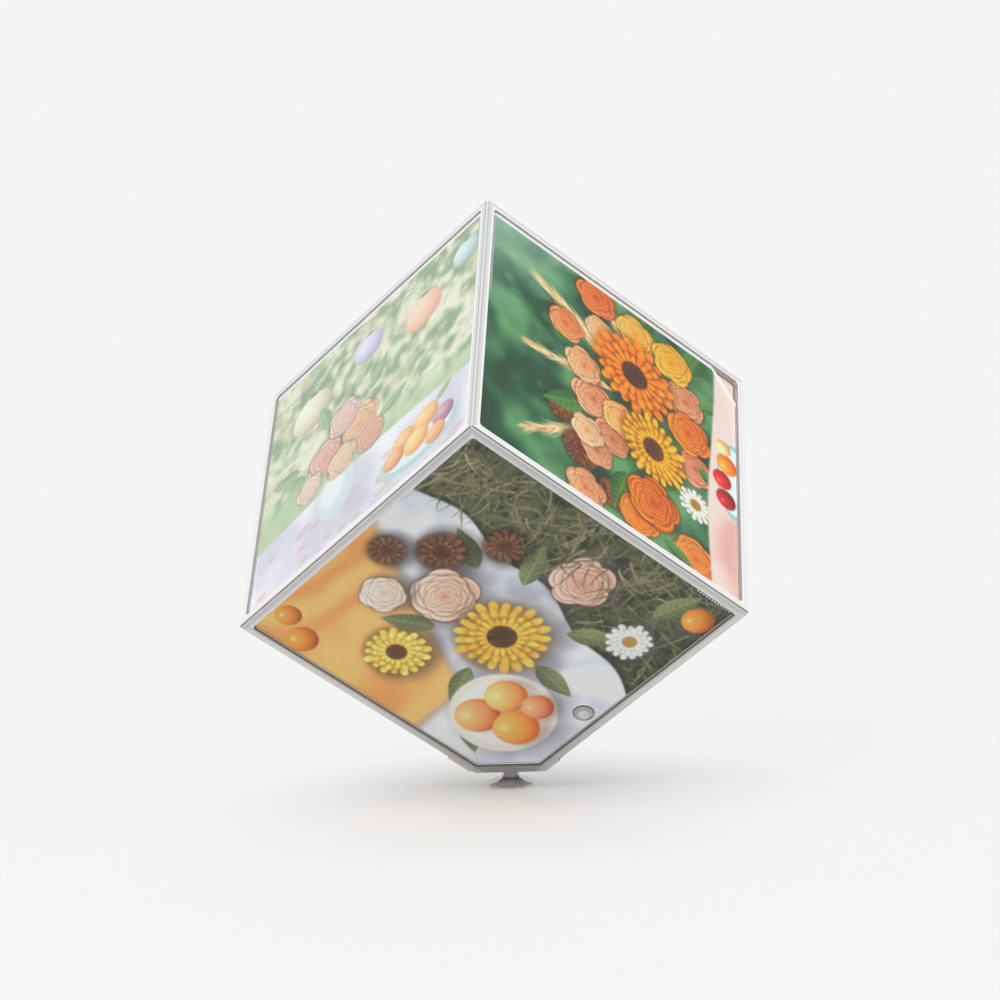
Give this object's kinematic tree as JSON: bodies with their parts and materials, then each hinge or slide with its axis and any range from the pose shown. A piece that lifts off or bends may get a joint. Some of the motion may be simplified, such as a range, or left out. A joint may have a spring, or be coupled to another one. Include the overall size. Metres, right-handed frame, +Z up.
{
  "type": "rotating photo cube",
  "caption": "Battery-driven picture cube that stands on a cut corner and turns slowly on a small round foot, with a clear cover over a print on every face.",
  "frame": {"origin": "middle of the foot's underside, on the surface that the cube stands on", "axes": "+Z up along the spindle and the cube's body diagonal, -Y towards the front upper corner between the upper left and upper right faces, +X to the right"},
  "size_m": [0.1264, 0.146, 0.1523],
  "materials": {
    "silver_shell": "satin silver-grey moulded plastic",
    "clear_acrylic": "clear, polished",
    "frosted_foot": "translucent, smooth",
    "dark_rubber": "matt",
    "turned_steel": "turned",
    "spring_steel": "oiled",
    "screw_steel": "zinc plated",
    "contact_steel": "nickel plated",
    "white_nylon": "natural, moulded",
    "sintered_bronze": "sintered, oiled",
    "black_abs": "moulded",
    "motor_steel": "plated can",
    "battery_sleeve": "printed sleeve, plain",
    "green_board": "solder resist",
    "print_lower_front": "coated photo paper, semi-gloss",
    "print_lower_right": "coated photo paper, semi-gloss",
    "print_lower_left": "coated photo paper, semi-gloss",
    "print_upper_left": "coated photo paper, semi-gloss",
    "print_upper_right": "coated photo paper, semi-gloss",
    "print_upper_back": "coated photo paper, semi-gloss"
  },
  "bodies": {
    "foot": {"foot_disc": "frosted_foot", "foot_pad": "dark_rubber", "spindle": "turned_steel", "thrust_washer": "white_nylon", "retaining_clip": "spring_steel", "output_gear": "white_nylon"},
    "cube": {"battery_cell": "battery_sleeve", "battery_tray": "black_abs", "board_screws": "screw_steel", "bush": "sintered_bronze", "circuit_board": "green_board", "contact_leaf": "contact_steel", "contact_plate": "contact_steel", "gear_axles": "turned_steel", "gearbox_base": "black_abs", "gearbox_screws": "screw_steel", "gearbox_top": "black_abs", "lower_shell": "silver_shell", "motor_can": "motor_steel", "motor_endcap": "black_abs", "motor_screws": "screw_steel", "print_lower_front": "print_lower_front", "print_lower_left": "print_lower_left", "print_lower_right": "print_lower_right", "print_upper_back": "print_upper_back", "print_upper_left": "print_upper_left", "print_upper_right": "print_upper_right", "shell_screws": "screw_steel", "tact_switch": "black_abs", "tray_screws": "screw_steel", "upper_shell": "silver_shell"},
    "power_button": {"button_cap": "clear_acrylic", "switch_plunger": "black_abs"},
    "battery_door": {"battery_door": "silver_shell"},
    "compound_gear_2": {"compound_gear_2": "white_nylon"},
    "compound_gear_1": {"compound_gear_1": "white_nylon"},
    "rotor": {"motor_pinion": "white_nylon", "motor_shaft": "turned_steel"},
    "cover_upper_left": {"cover_upper_left": "clear_acrylic"},
    "cover_upper_right": {"cover_upper_right": "clear_acrylic"},
    "cover_upper_back": {"cover_upper_back": "clear_acrylic"},
    "cover_lower_front": {"cover_lower_front": "clear_acrylic"},
    "cover_lower_right": {"cover_lower_right": "clear_acrylic"},
    "cover_lower_left": {"cover_lower_left": "clear_acrylic"}
  },
  "joints": [
    {"name": "cube_spin", "type": "hinge", "parent": "foot", "child": "cube", "pos_m": [0, 0, 0.005], "axis": [0, 0, 1], "continuous": true},
    {"name": "button_press", "type": "slide", "parent": "cube", "child": "power_button", "axis": [0, 0.8165, 0.5774], "range_m": [0, 0.0006], "stiffness_N_per_m": 900, "springref_m": -0.0012},
    {"name": "battery_door_slide", "type": "slide", "parent": "cube", "child": "battery_door", "axis": [0, -0.8165, -0.5774], "range_m": [0, 0.004]},
    {"name": "compound_2_spin", "type": "hinge", "parent": "cube", "child": "compound_gear_2", "pos_m": [0, 0.0105, 0.028], "axis": [0, 0, 1], "continuous": true},
    {"name": "compound_1_spin", "type": "hinge", "parent": "cube", "child": "compound_gear_1", "pos_m": [0, 0, 0.031], "axis": [0, 0, 1], "continuous": true},
    {"name": "rotor_spin", "type": "hinge", "parent": "cube", "child": "rotor", "pos_m": [-0.00909, 0.00525, 0.034], "axis": [0, 0, 1], "continuous": true},
    {"name": "upper_left_cover_lift", "type": "slide", "parent": "cube", "child": "cover_upper_left", "axis": [-0.7071, -0.4082, 0.5774], "range_m": [0, 0.025]},
    {"name": "upper_right_cover_lift", "type": "slide", "parent": "cube", "child": "cover_upper_right", "axis": [0.7071, -0.4082, 0.5774], "range_m": [0, 0.025]},
    {"name": "upper_back_cover_lift", "type": "slide", "parent": "cube", "child": "cover_upper_back", "axis": [0, 0.8165, 0.5774], "range_m": [0, 0.025]},
    {"name": "lower_front_cover_lift", "type": "slide", "parent": "cube", "child": "cover_lower_front", "axis": [0, -0.8165, -0.5774], "range_m": [0, 0.025]},
    {"name": "lower_right_cover_lift", "type": "slide", "parent": "cube", "child": "cover_lower_right", "axis": [0.7071, 0.4082, -0.5774], "range_m": [0, 0.025]},
    {"name": "lower_left_cover_lift", "type": "slide", "parent": "cube", "child": "cover_lower_left", "axis": [-0.7071, 0.4082, -0.5774], "range_m": [0, 0.025]}
  ],
  "couplings": [
    {"joint": "compound_2_spin", "follows": "cube_spin", "ratio": 3.2},
    {"joint": "compound_1_spin", "follows": "cube_spin", "ratio": -10.24},
    {"joint": "rotor_spin", "follows": "cube_spin", "ratio": 32.768}
  ]
}
